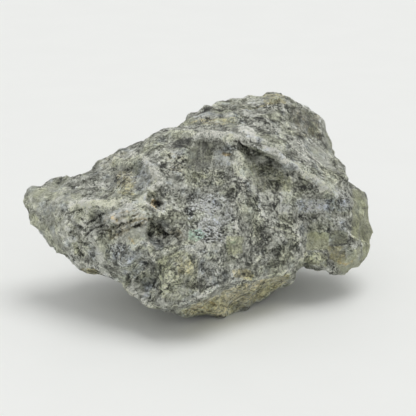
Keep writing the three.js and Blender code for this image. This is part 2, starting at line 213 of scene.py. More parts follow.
# Adds to marks on the skin, fullest at the landed places and gone at the reach, in mm.
def paint(landed, reach, values):
    if len(landed) == 0:
        return
    reach = reach / 1000
    near = np.all((places > landed.min(0) - reach) & (places < landed.max(0) + reach), axis=1)
    chosen = np.nonzero(near)[0]
    far = np.full(len(chosen), reach)
    for start in range(0, len(chosen), 4000):
        part = places[chosen[start:start + 4000]]
        far[start:start + 4000] = np.linalg.norm(part[:, None, :] - landed[None, :, :], axis=2).min(1)
    share = np.clip(1 - far / reach, 0, 1)
    share = share * share * (3 - 2 * share)
    for name, value in values.items():
        if name in ("lift", "light"):
            marks[name][chosen] += value * share
        else:
            marks[name][chosen] = np.maximum(marks[name][chosen], value * share)


# A line or an area of the stone: its places, its reach in mm, and how strongly each mark shows there.
def mark(where, reach, **values):
    return {"where": where, "reach": reach, "values": values}


# Lines on the stone: ridges stand out and cracks sink in, by lift in mm along the skin's normal, and the dark mark
# paints shade into the cracks.
strokes = {
    "whiteSeamLower": mark(
        [(72, 206), (80, 203), (88, 205), (97, 202), (108, 204), (120, 201), (132, 203), (140, 202),
        (145, 196), (152, 188)],
        1.4, lift=0.18, pale=1.0, light=0.12,
    ),
    "whiteSeamUpper": mark(
        [(152, 188), (159, 182), (156, 174), (152, 167), (147, 164), (143, 157), (136, 155), (132, 151)],
        1.15, lift=0.12, pale=1.0, light=0.12,
    ),
    "whiteSeamBranch": mark(
        [(144, 201), (150, 204), (155, 209), (160, 213)],
        0.95, lift=0.1, pale=0.8, light=0.1,
    ),
    "seamCrack": mark([(118, 203.5), (131, 202.5)], 0.4, lift=-0.4, dark=1.0),
    "seamCrackLong": mark([(70, 213), (84, 209), (98, 207), (110, 208)], 0.35, lift=-0.2, dark=0.8),
    "lumpCrack": mark([(78, 228), (88, 223), (97, 217), (105, 213)], 0.5, lift=-0.35, dark=0.45),
    "lumpCrackLow": mark([(84, 236), (94, 229), (104, 224)], 0.4, lift=-0.3, dark=0.8),
    "lumpFibreOne": mark([(104, 221), (120, 213), (140, 211)], 0.35, lift=-0.2, umber=0.7, light=-0.2),
    "lumpFibreTwo": mark(
        [(106, 229), (118, 226), (135, 220), (152, 219)],
        0.42, lift=-0.25, umber=0.8, light=-0.38,
    ),
    "lumpFibreThree": mark(
        [(109, 239), (118, 233), (132, 228), (141, 226)],
        0.42, lift=-0.25, umber=0.8, light=-0.34,
    ),
    "lumpFibreFour": mark(
        [(112, 225), (122, 218), (138, 215), (150, 214)],
        0.3, lift=-0.15, umber=0.6, light=-0.25,
    ),
    "lumpGlint": mark([(106, 219), (118, 211), (134, 208)], 0.4, pale=0.6),
    "browRidge": mark(
        [(186, 130), (196, 134), (206, 132), (216, 135), (226, 133), (233, 138), (239, 140)],
        1.3, lift=0.1, pale=1.0, light=0.1,
    ),
    "browBelow": mark(
        [(214, 137), (225, 139), (232, 146), (239, 150), (241, 160), (239, 170), (243, 180), (242, 192)],
        0.9, lift=0.12, pale=0.8,
    ),
    "facetLineOne": mark([(200, 140), (198, 152), (197, 165)], 0.3, lift=-0.1, light=-0.1),
    "facetLineTwo": mark([(205, 141), (208, 150), (212, 160)], 0.3, lift=-0.1, light=-0.08),
    # Painted shade: the dark line under the slab's lip and its fainter run to the right, along cuts that are also
    # real.
    "lipCrack": mark([(236, 141), (243, 146), (250, 150), (262, 155), (275, 162)], 0.6, lift=-1.0, dark=1.0),
    "lipCrackOn": mark([(275, 162), (290, 171), (300, 178), (312, 183)], 0.5, lift=-0.15, dark=0.3),
    "slabEdge": mark(
        [(240, 124), (243, 132), (251, 131), (256, 140), (264, 141), (266, 149), (276, 151), (284, 160),
        (296, 164), (303, 174), (315, 176), (324, 187), (338, 194)],
        0.95, lift=0.12, pale=0.95, light=0.06,
    ),
    "lipFill": mark([(278, 168), (290, 175), (305, 183), (320, 190), (334, 197)], 1.5, lift=0.45, light=0.08),
    "paleFarEdge": mark(
        [(277, 113), (288, 126), (296, 141), (306, 152), (318, 162), (332, 172), (343, 181)],
        0.5, lift=0.2, pale=0.6,
    ),
    "slabSheet": mark([(270, 134), (285, 141), (300, 152), (316, 164), (330, 176), (344, 187)], 0.8, pale=0.55),
    "stepEdge": mark(
        [(298, 224), (298, 235), (300, 246), (306, 254), (302, 260), (297, 264)],
        0.6, lift=0.1, pale=0.8,
    ),
    "cornerShade": mark([(352, 196), (352, 214), (350, 230)], 0.4, light=-0.2),
    "cornerEdge": mark([(345, 228), (352, 236), (368, 245)], 0.4, lift=0.15, pale=0.45),
    "frontEdgeLeft": mark(
        [(104, 272), (125, 285), (134, 293), (143, 303), (152, 307), (165, 307)],
        0.8, lift=0.05, pale=0.9, light=0.06,
    ),
    "frontEdge": mark(
        [(165, 307), (178, 305), (190, 301), (200, 296), (212, 289), (225, 284), (239, 280), (255, 278),
        (272, 274), (289, 270), (297, 264)],
        0.5, lift=0.12, pale=0.85,
    ),
    "frontEdgeShade": mark([(200, 292), (214, 284), (228, 279), (244, 275)], 0.4, light=-0.25),
    "bossArc": mark(
        [(152, 257), (160, 252), (170, 248), (182, 247), (192, 250), (200, 255)],
        0.6, lift=0.1, pale=0.6,
    ),
    "bossLeftEdge": mark([(147, 243), (151, 252), (155, 262)], 0.4, lift=0.15, pale=0.9),
    "bossSeam": mark([(163, 290), (172, 280), (184, 275), (196, 262)], 0.35, pale=0.6),
    "bossShade": mark([(158, 262), (160, 272), (166, 282)], 0.4, light=-0.25),
    "creamSpot": mark([(236, 219), (237, 225), (236, 230)], 0.55, lift=0.1, pale=1.0),
    "creamSpotLeft": mark([(81, 223), (85, 226)], 0.4, pale=1.0),
    "creamSpotLeftLow": mark([(82, 232), (85, 236)], 0.4, pale=1.0),
    "creamSpotTip": mark([(62, 241), (68, 248)], 0.45, pale=0.9),
    "mintSpot": mark([(189, 234), (196, 236), (203, 235)], 0.8, mint=0.5),
    "mintSpotFaint": mark([(227, 245), (233, 243), (240, 239)], 0.8, mint=0.45),
    "rustKnee": mark([(129, 238), (134, 243)], 0.5, rust=0.6),
    "rustTop": mark([(113, 217), (117, 221)], 0.45, rust=0.8),
    "rustLump": mark([(142, 222), (144, 226)], 0.5, rust=0.4),
    "rustBrow": mark([(223, 154), (229, 154)], 0.6, rust=0.9, light=-0.1),
    "rustHorn": mark([(339, 262), (346, 265), (352, 262)], 0.7, rust=0.7),
    "rustRight": mark([(365, 250), (366, 256)], 0.5, rust=0.7),
    "leftEdgePale": mark(
        [(44, 243), (56, 252), (68, 262), (80, 263), (90, 265), (100, 268)],
        0.45, pale=0.8, lift=0.05,
    ),
    "leftCrack": mark([(76, 246), (79, 251), (82, 256)], 0.35, lift=-0.2, dark=1.0),
    "flakeCrack": mark([(92, 268), (97, 271), (101, 273)], 0.35, lift=-0.3, dark=1.0),
    "flakeGap": mark([(99, 272), (106, 276), (113, 279)], 0.5, lift=-0.5, dark=1.0),
    "grooveStreakOne": mark([(127, 277), (134, 268), (141, 260)], 0.38, lift=-0.12, dark=0.5),
    "grooveStreakTwo": mark([(134, 282), (141, 272), (149, 262)], 0.38, lift=-0.12, dark=0.5),
    "groovePaleLine": mark([(131, 280), (140, 274), (150, 268)], 0.3, pale=0.8),
    "grooveCracks": mark([(141, 279), (146, 290), (150, 298)], 0.5, lift=-0.2, dark=0.5),
    "grooveCracksRight": mark([(158, 276), (152, 286), (164, 292), (170, 283)], 0.4, lift=-0.2, dark=0.9),
    "strataLight": mark([(196, 112), (214, 105), (231, 102), (249, 98), (266, 95)], 0.5, light=0.35),
    "strataDark": mark([(205, 111), (222, 110), (240, 109)], 0.5, light=-0.35),
    "strataYellow": mark([(235, 111), (250, 109), (265, 106)], 0.4, ochre=0.8, light=-0.2),
    "strataLow": mark([(160, 134), (178, 129), (196, 127), (214, 127), (232, 125)], 0.4, light=-0.2),
    "strataBlue": mark([(190, 118), (206, 116), (222, 115), (240, 116)], 0.45, blue=0.6, light=0.18),
    "strataUpper": mark([(222, 101), (238, 98), (254, 95)], 0.4, light=-0.25),
    "strataOchre": mark([(178, 126), (194, 121), (210, 119), (226, 119)], 0.4, ochre=0.7, light=0.12),
    # Painted shade along a crease on the top.
    "topCrease": mark([(132, 146), (150, 141), (168, 136)], 0.35, light=-0.2),
    "tanStreak": mark([(204, 299), (210, 302), (216, 305)], 0.4, umber=1.0, light=-0.2),
    "tanStreakLow": mark([(186, 311), (198, 306), (208, 309)], 0.35, umber=0.8, light=-0.15),
}

# Areas of the stone that have a finish of their own.
zones = {
    # the left wing
    "tipCorner": mark([(23, 183), (36, 182), (38, 192), (24, 200)], 0.9, smooth=1.0),
    "tipWedge": mark(
        [(27, 199), (40, 188), (60, 183), (75, 195), (62, 215), (70, 240), (60, 250), (44, 238), (30, 217)],
        0.8, light=0.07, smooth=0.6, olive=0.35,
    ),
    "outlineBand": mark(
        [(100, 170), (101, 163), (118, 151), (134, 149), (133, 158), (112, 168)],
        0.7, light=0.14, crisp=0.3, ochre=0.3,
    ),
    "crispHollow": mark([(84, 177), (105, 174), (106, 192), (85, 193)], 0.7, crisp=0.6),
    "yellowHollow": mark([(118, 172), (134, 171), (135, 194), (118, 194)], 0.6, ochre=0.6, crisp=0.5),
    "greyHollow": mark(
        [(132, 162), (143, 160), (150, 170), (151, 184), (146, 194), (135, 193)],
        0.6, blue=0.6, smooth=0.5, light=-0.01,
    ),
    "whiteGrains": mark([(70, 200), (100, 198), (118, 206), (100, 210), (72, 211)], 0.6, light=0.23, crisp=0.7),
    "crackedDark": mark([(80, 210), (100, 210), (100, 226), (82, 229)], 0.6, crisp=0.6, light=0.14),
    "wingLow": mark(
        [(66, 220), (80, 232), (92, 246), (84, 258), (70, 250)],
        0.7, crisp=0.5, olive=0.4, light=0.17,
    ),
    "wingOlive": mark([(73, 243), (78, 243), (79, 255), (74, 255)], 0.4, olive=1.0, light=-0.1),
    "paleStep": mark([(95, 246), (104, 245), (106, 261), (96, 262)], 0.5, light=0.3, smooth=0.5),
    "tanFlake": mark([(80, 268), (98, 269), (97, 276), (83, 277)], 0.5, ochre=0.9, light=-0.11, smooth=0.4),
    # the lump, the knee below it and the pit beside it
    "lumpTop": mark(
        [(102, 220), (106, 211), (122, 207), (140, 208), (152, 214), (142, 219), (120, 223), (104, 229)],
        0.6, light=0.36, umber=0.25, layered=0.9, ochre=0.1,
    ),
    "lumpFront": mark(
        [(104, 228), (122, 221), (142, 217), (150, 220), (134, 229), (112, 240)],
        0.6, umber=0.45, layered=1.0, light=0.06,
    ),
    "kneeSmooth": mark(
        [(115, 235), (130, 228), (146, 227), (148, 238), (136, 243), (117, 243)],
        0.6, light=0.12, smooth=0.8, ochre=0.2,
    ),
    "kneeBlue": mark(
        [(105, 245), (138, 244), (142, 256), (128, 263), (108, 261)],
        0.6, blue=0.6, light=0.1, crisp=0.2,
    ),
    "deepPit": mark(
        [(151, 226), (158, 222), (174, 228), (180, 238), (164, 243), (152, 239)],
        0.8, light=-0.21, umber=0.3, lift=0.7,
    ),
    "pitWall": mark([(172, 228), (178, 228), (186, 238), (180, 242)], 0.4, umber=0.6, light=0.2),
    "pitLip": mark([(165, 245), (185, 244), (186, 249), (166, 250)], 0.4, light=-0.15, smooth=0.5),
    "pitLipBlue": mark([(152, 242), (164, 241), (163, 249), (154, 250)], 0.4, blue=0.8, light=-0.28),
    "brownNick": mark([(151, 201), (157, 199), (157, 209), (152, 208)], 0.45, umber=1.0, lift=0.5, rust=0.5),
    "nickTop": mark([(149, 190), (160, 190), (161, 199), (152, 201)], 0.6, lift=0.8, light=0.16),
    "nickFacet": mark(
        [(156, 188), (165, 189), (164, 202), (158, 201)],
        0.45, light=-0.13, smooth=0.5, lift=0.5,
    ),
    "seamBright": mark([(134, 197), (146, 194), (149, 204), (139, 206)], 0.4, light=0.34, crisp=0.5),
    "seamCorner": mark([(150, 171), (159, 171), (159, 182), (152, 182)], 0.5, light=0.22, crisp=0.5),
    "darkBlob": mark([(161, 163), (167, 163), (167, 168), (161, 168)], 0.4, light=-0.92),
    # the groove and the boss
    "grooveDark": mark([(140, 280), (148, 277), (158, 280), (156, 290), (146, 291)], 0.6, light=0.09, blue=0.6),
    "grooveDarkTop": mark([(150, 270), (160, 269), (160, 277), (151, 277)], 0.45, light=-0.18, blue=0.5),
    "grooveSide": mark(
        [(116, 264), (134, 262), (148, 262), (138, 276), (126, 280)],
        0.6, blue=0.6, light=-0.02, crisp=0.4,
    ),
    "paleTriangle": mark([(142, 294), (150, 294), (147, 302)], 0.45, light=0.82),
    "boss": mark(
        [(156, 257), (180, 251), (197, 258), (196, 290), (180, 301), (162, 296)],
        0.8, olive=0.6, crisp=0.35, light=0.03,
    ),
    "bossYellow": mark([(176, 258), (194, 262), (193, 276), (178, 274)], 0.7, ochre=0.5, light=-0.08),
    "bossGrey": mark([(200, 262), (224, 262), (222, 280), (204, 288)], 0.6, blue=0.3, crisp=0.6, light=-0.06),
    # the upper front
    "browFacet": mark(
        [(172, 148), (176, 140), (190, 138), (191, 146), (183, 149)],
        0.5, light=-0.38, smooth=0.8,
    ),
    "creamCrystals": mark(
        [(165, 152), (183, 152), (185, 173), (167, 175)],
        0.6, crisp=0.8, light=0.03, ochre=0.3,
    ),
    "smoothFacet": mark(
        [(189, 150), (196, 143), (204, 142), (210, 151), (211, 164), (200, 171), (189, 169)],
        0.5, light=-0.21, smooth=1.0, olive=0.3,
    ),
    "darkOlive": mark([(192, 172), (224, 168), (224, 184), (196, 186)], 0.6, light=-0.14, olive=0.5, crisp=0.3),
    "bluePatch": mark([(213, 150), (231, 151), (229, 166), (215, 165)], 0.5, blue=0.6, smooth=0.6, light=0.1),
    "whiteLined": mark([(233, 151), (244, 153), (243, 179), (234, 179)], 0.5, light=0.2, crisp=0.8),
    "flecked": mark([(226, 181), (249, 181), (249, 199), (228, 199)], 0.6, crisp=0.9, light=-0.22),
    "leftOfScoop": mark([(163, 190), (186, 186), (190, 205), (184, 220), (168, 216)], 0.6, crisp=0.5),
    # the silvery scoop
    "scoop": mark(
        [(188, 194), (226, 196), (233, 218), (230, 240), (204, 242), (190, 224)],
        0.9, silver=0.8, mica=1.0, light=0.04,
    ),
    "scoopBright": mark(
        [(203, 197), (227, 198), (227, 224), (205, 224)],
        0.5, light=0.16, silver=1.0, layered=0.35,
    ),
    "scoopBrightest": mark([(206, 210), (221, 210), (221, 219), (207, 219)], 0.4, light=0.29),
    "scoopZebra": mark([(204, 227), (229, 227), (228, 241), (205, 241)], 0.4, crisp=1.0, mica=1.0),
    "mintPatch": mark([(188, 229), (200, 228), (204, 236), (196, 241), (189, 238)], 0.5, mint=0.8, light=0.06),
    "scoopFoot": mark([(206, 245), (221, 245), (219, 257), (207, 257)], 0.5, light=0.32, crisp=0.5),
    "greenFacet": mark([(226, 237), (244, 236), (243, 253), (228, 254)], 0.5, olive=1.0, smooth=0.7),
    # the right front
    "rightShade": mark(
        [(250, 227), (297, 227), (296, 262), (252, 262)],
        0.8, light=-0.07, crisp=0.45, olive=0.3,
    ),
    "rightMiddle": mark(
        [(246, 200), (276, 198), (296, 216), (292, 226), (250, 226)],
        0.8, crisp=0.6, light=-0.07,
    ),
    "whiteCluster": mark([(254, 254), (262, 254), (261, 261), (255, 261)], 0.4, light=0.58, crisp=0.6),
    "darkSpots": mark([(245, 257), (252, 257), (251, 269), (246, 267)], 0.45, light=-0.36),
    "tanPatch": mark([(232, 270), (244, 269), (252, 273), (250, 279), (236, 278)], 0.5, ochre=1.0, light=-0.02),
    "underLip": mark(
        [(250, 162), (270, 166), (291, 181), (289, 191), (262, 191), (252, 184)],
        0.6, light=-0.04, olive=0.6, smooth=0.3,
    ),
    "underLipStreak": mark([(251, 180), (257, 180), (257, 197), (252, 197)], 0.4, light=0.25),
    "lightCrystals": mark(
        [(279, 192), (291, 191), (291, 213), (280, 213)],
        0.5, light=0.46, crisp=0.8, silver=0.6, mica=0.5,
    ),
    # Painted shade under the right end of the slab's lip.
    "underLipRight": mark(
        [(292, 180), (304, 183), (318, 192), (308, 197), (294, 194)],
        0.6, light=-0.15, crisp=0.3,
    ),
    "blueStreaks": mark(
        [(296, 199), (325, 200), (325, 213), (299, 213)],
        0.5, light=0.34, crisp=0.8, blue=0.5, mica=0.6,
    ),
    "blueCorner": mark([(326, 200), (350, 199), (349, 210), (327, 212)], 0.5, blue=0.8, mica=0.5, light=-0.04),
    "greyShelf": mark([(300, 216), (349, 217), (349, 230), (301, 230)], 0.6, light=-0.06, crisp=0.4, blue=0.3),
    "darkShelf": mark(
        [(331, 230), (348, 232), (348, 244), (332, 243)],
        0.5, light=-0.15, olive=0.8, smooth=0.8,
    ),
    "hornOlive": mark([(305, 234), (328, 234), (328, 250), (307, 249)], 0.6, olive=1.0, light=0.04, smooth=0.7),
    "hornYellow": mark(
        [(328, 246), (345, 247), (345, 262), (331, 260)],
        0.6, ochre=0.7, olive=0.5, light=-0.13, smooth=0.8,
    ),
    "hornLow": mark([(304, 252), (328, 254), (328, 266), (305, 263)], 0.6, olive=0.8, light=-0.05, smooth=0.35),
    "hornEdge": mark(
        [(336, 262), (352, 256), (366, 240), (374, 246), (364, 262), (346, 274)],
        1.3, smooth=1.0, olive=0.8,
    ),
    "oliveFace": mark(
        [(353, 192), (362, 191), (372, 212), (374, 250), (354, 235)],
        1.5, olive=1.0, smooth=1.0, light=-0.1,
    ),
    # the slab and the top
    "lipWhite": mark([(241, 122), (255, 129), (255, 143), (247, 139)], 0.5, light=0.53, crisp=0.5),
    "slabFront": mark(
        [(256, 133), (289, 151), (288, 159), (258, 145)],
        0.5, light=0.12, crisp=0.7, silver=0.5, mica=0.6,
    ),
    "slabRight": mark(
        [(296, 160), (320, 175), (349, 195), (347, 200), (318, 184), (298, 172)],
        0.5, silver=0.8, mica=0.7, light=0.21, crisp=0.4,
    ),
    "slabSpeckled": mark([(251, 119), (270, 119), (285, 139), (258, 132)], 0.6, light=-0.1, crisp=0.9),
    "greyBand": mark([(305, 146), (322, 147), (333, 160), (333, 171), (314, 161)], 0.5, smooth=1.0, light=0.05),
    "blotchyFacet": mark(
        [(291, 105), (317, 117), (321, 139), (298, 137)],
        0.6, umber=0.45, light=-0.19, crisp=0.2, smooth=0.7, olive=0.3,
    ),
    "blotOne": mark([(298, 112), (303, 113), (302, 118), (297, 117)], 0.4, light=-0.3, umber=0.6),
    "blotTwo": mark([(309, 127), (315, 128), (314, 133), (309, 132)], 0.45, light=-0.06, umber=0.6),
    "blotThree": mark([(318, 134), (323, 135), (322, 141), (318, 140)], 0.4, light=-0.5, umber=0.6),
    "rightRim": mark(
        [(321, 118), (327, 126), (333, 158), (327, 150), (322, 134)],
        0.9, light=-0.06, smooth=0.9,
    ),
    "peakOchre": mark([(262, 94), (284, 94), (286, 103), (266, 105)], 0.6, ochre=0.8, light=0.05),
    "blueFlake": mark([(248, 100), (256, 100), (256, 104), (248, 104)], 0.35, light=0.6, blue=0.6),
    "ochreBand": mark([(200, 119), (235, 117), (235, 123), (201, 125)], 0.5, ochre=0.7, crisp=0.3, light=0.14),
    "topBack": mark(
        [(196, 113), (220, 107), (250, 103), (262, 108), (240, 115), (204, 118)],
        0.6, crisp=0.4, blue=0.3, smooth=0.25,
    ),
    "topLeft": mark(
        [(140, 144), (160, 134), (184, 124), (190, 130), (168, 140), (146, 152)],
        0.7, olive=0.4, crisp=0.3, light=0.05, smooth=0.35,
    ),
    # the tan face below the front edge
    "tanFace": mark(
        [(182, 311), (206, 299), (236, 287), (289, 274), (287, 281), (254, 301), (224, 316), (188, 315)],
        0.8, ochre=0.75, light=0.11, smooth=0.2,
    ),
    "tanSpecks": mark([(214, 302), (222, 300), (221, 311), (216, 312)], 0.4, light=0.2, crisp=0.8),
    "tanBrown": mark([(240, 284), (262, 279), (258, 290), (244, 294)], 0.6, umber=0.4, light=-0.01),
}

# The far side has the same kinds of seams, cracks and patches, laid out freely.
farStrokes = {
    "farSeam": mark([(-21, 12), (-16, 9), (-11, 10), (-6, 13), (-1, 11), (3, 15)], 1.1, lift=0.14, pale=0.9),
    "farSeamUpper": mark([(3, 15), (5, 19), (9, 21), (12, 25), (17, 26)], 0.9, lift=0.12, pale=0.8),
    "farSeamLow": mark([(-1, 11), (4, 8), (9, 7), (13, 4)], 0.8, lift=0.1, pale=0.7),
    "farCrack": mark(
        [(-13, 15), (-11, 15.7), (-9, 15.3), (-7, 17), (-5, 17.5), (-3.5, 17), (-1.5, 19), (-0.5, 20.6),
        (2, 22)],
        0.42, lift=-0.45, dark=0.75,
    ),
    "farCrackLow": mark(
        [(13, 8), (14.2, 9.8), (14, 11.5), (16.2, 12.8), (17, 14.4), (19.2, 15.2), (19.6, 17.2), (21, 19)],
        0.42, lift=-0.4, dark=0.65,
    ),
    "farRust": mark([(-4, 6), (-1, 5), (2, 6)], 0.7, rust=0.6),
    "farMint": mark([(-10, 12), (-8, 13), (-7, 12)], 0.9, mint=0.8),
}
farZones = {
    "farFace": mark([(3, 9), (12, 9), (18, 16), (15, 23), (6, 19)], 1.5, smooth=0.8, olive=0.7, light=-0.04),
    "farMica": mark([(-17, 11), (-7, 14), (-8, 17), (-14, 17)], 1.4, mica=1.0, silver=0.8, light=0.08),
    "farOchre": mark([(-7, 2), (8, 2), (6, 6), (-5, 8)], 1.5, ochre=0.8, light=0.03),
    "farDark": mark([(-6, 16), (1, 14), (4, 20), (-2, 21)], 1.2, light=-0.16, crisp=0.6),
    "farCrisp": mark([(-20, 5), (-10, 3), (-9, 8), (-18, 9)], 1.3, light=-0.08, crisp=0.7, blue=0.5),
    "farTip": mark([(-27, 13), (-21, 12), (-20, 17), (-26, 17)], 1.4, smooth=0.5, olive=0.4, light=0.05),
    "farEnd": mark([(19, 8), (26, 9), (26, 17), (20, 15)], 1.4, smooth=0.8, olive=0.9),
}


# How far flat chips of one size cut into the skin at each place, in mm: the lowest of the slanted
# hollows round about, so that neighbouring chips meet in sharp edges.
def chipDepths(points, size, steepness, hollow, depth, seed):
    chance = np.random.default_rng(seed)
    at = points * 1000 / size
    first = np.floor(at.min(0)).astype(int) - 1
    shape = tuple(np.floor(at.max(0)).astype(int) + 2 - first)
    jitter = chance.random(shape + (3,))
    slants = (chance.random(shape + (3,)) - 0.5) * steepness
    home = np.floor(at).astype(int) - first
    lowest = np.full(len(points), np.inf)
    for dx in (-1, 0, 1):
        for dy in (-1, 0, 1):
            for dz in (-1, 0, 1):
                cell = home + (dx, dy, dz)
                index = (cell[:, 0], cell[:, 1], cell[:, 2])
                away = at - (cell + first + jitter[index])
                lowest = np.minimum(lowest, (slants[index] * away).sum(1) + (away ** 2).sum(1) * hollow)
    return (lowest - lowest.mean()) * size * depth


def pointNormals(mesh):
    values = np.zeros(len(mesh.vertices) * 3, np.float32)
    mesh.vertex_normals.foreach_get("vector", values)
    return values.reshape(-1, 3).astype(float)


# Where the outline of the stone reaches further than the solid, or less far: a place in the picture,
# how far the skin moves to the right and up there, and the reach, all three in mm.
pushes = {
    "hornCorner": {"at": (364, 252), "right": 1.0, "up": -0.25, "reach": 3.4},
    "oliveEdge": {"at": (369, 214), "right": -0.35, "up": 0.0, "reach": 4.0},
    "rightTop": {"at": (320, 116), "right": 0.5, "up": 0.35, "reach": 2.8},
    "peak": {"at": (290, 101), "right": 0.1, "up": 0.6, "reach": 2.4},
    "back": {"at": (252, 99), "right": 0.0, "up": 0.35, "reach": 2.6},
    "backDip": {"at": (230, 100), "right": 0.0, "up": -0.45, "reach": 2.0},
    "backLeft": {"at": (207, 109), "right": 0.0, "up": 0.55, "reach": 2.0},
    "wing": {"at": (111, 158), "right": 0.0, "up": 0.45, "reach": 1.8},
    "wingDip": {"at": (60, 180), "right": 0.0, "up": -0.4, "reach": 2.0},
    "tipTop": {"at": (31, 189), "right": 0.0, "up": -0.35, "reach": 1.6},
    "tip": {"at": (26, 202), "right": -0.4, "up": 0.0, "reach": 2.2},
    "tipLow": {"at": (35, 235), "right": 0.4, "up": 0.1, "reach": 2.0},
}


# The point of the skin that lies closest to a line of sight, also where that misses the stone.
def rimPoint(px, py):
    way = np.array(lineOfSight(px, py))
    away = places - np.array(eye)
    return places[np.linalg.norm(away - (away @ way)[:, None] * way, axis=1).argmin()]


def pushSkin():
    for push in pushes.values():
        landed = landPoint(*push["at"]) or rimPoint(*push["at"])
        share = np.clip(1 - np.linalg.norm(places - np.array(landed), axis=1) * 1000 / push["reach"], 0, 1)
        share = share * share * (3 - 2 * share)
        places[:] += share[:, None] * np.array(rightwards * push["right"] + upwards * push["up"]) / 1000


# Chips the skin, less where it is smooth and not at all at the foot.
def chipSkin():
    calm = 1 - 0.8 * marks["smooth"]
    clear = np.clip(places[:, 2] * 1000 / skin["footGuard"], 0, 1)
    depth = sum(chipDepths(places, **skin[name]) for name in ("chips", "splinters", "nicks")) * calm * clear
    moved = places + pointNormals(stone.data) * depth[:, None] / 1000
    stone.data.vertices.foreach_set("co", moved.astype(np.float32).ravel())
    stone.data.update()
    print("chips cut, from", round(float(depth.min()), 2), "to", round(float(depth.max()), 2), "mm")


# The steps are in pixels on the side that is seen, and in mm on the far side.
for group, cover, step, land in (
    (strokes, landPath, 1.0, landPoint), (zones, landArea, 1.6, landPoint),
    (farStrokes, landPath, 0.2, landBehind), (farZones, landArea, 0.4, landBehind),
):
    for one in group.values():
        paint(cover(one["where"], step, land), one["reach"], one["values"])
for name in markNames:
    attribute = stone.data.attributes.new(name, "FLOAT", "POINT")
    attribute.data.foreach_set("value", marks[name].astype(np.float32))
print("marks:", len(strokes) + len(farStrokes), "lines and", len(zones) + len(farZones), "areas")
pushSkin()
chipSkin()


def newGeometryTree(name, sockets):
    tree = bpy.data.node_groups.new(name, "GeometryNodeTree")
    tree.interface.new_socket("Geometry", in_out="INPUT", socket_type="NodeSocketGeometry")
    tree.interface.new_socket("Geometry", in_out="OUTPUT", socket_type="NodeSocketGeometry")
    for socketName, value in sockets.items():
        kind = "NodeSocketInt" if isinstance(value, int) else "NodeSocketFloat"
        tree.interface.new_socket(socketName, in_out="INPUT", socket_type=kind).default_value = value
    return tree, tree.nodes.new("NodeGroupInput"), tree.nodes.new("NodeGroupOutput")


def runTree(piece, tree, values):
    modifier = piece.modifiers.new(tree.name, "NODES")
    modifier.node_group = tree
    for item in tree.interface.items_tree:
        if item.in_out == "INPUT" and item.name in values:
            modifier[item.identifier] = values[item.name]
    return settle(piece)


def markOf(tree, name):
    return addNode(tree, "GeometryNodeInputNamedAttribute", {"Name": name}, data_type="FLOAT").outputs[0]


def openSocket(sockets, name):
    return next(socket for socket in sockets if socket.name == name and socket.enabled)


# Which way the layers of the rock run, on the left half of the stone and on the right.
leanings = {
    "left": (0.86, 0.25, 0.44),
    "right": (0.82, 0.10, -0.56),
    "turnFrom": -4.0,  # mm, where one begins to give way to the other
    "turnTo": 8.0,
    "mica": (1.0, 0.15, -0.12),
    "spread": 1.5,  # how far single bundles of fibres stray from these
}


# Noise drawn out into streaks along a direction, which is a vector of length 1 or a socket of such vectors.
def streaksOf(tree, place, way, scale, stretch, detail=2.0):
    if not isinstance(way, bpy.types.NodeSocket):
        way = tuple(Vector(way).normalized())
    run = vectorMaths(tree, "SCALE", way, scale=vectorMaths(tree, "DOT_PRODUCT", place, way))
    along = vectorMaths(tree, "SUBTRACT", place, vectorMaths(tree, "SCALE", run, scale=1 - 1 / stretch))
    return noiseOf(tree, along, scale, detail)


noiseSpan = 4.0  # noise keeps near its middle, and this stretches it


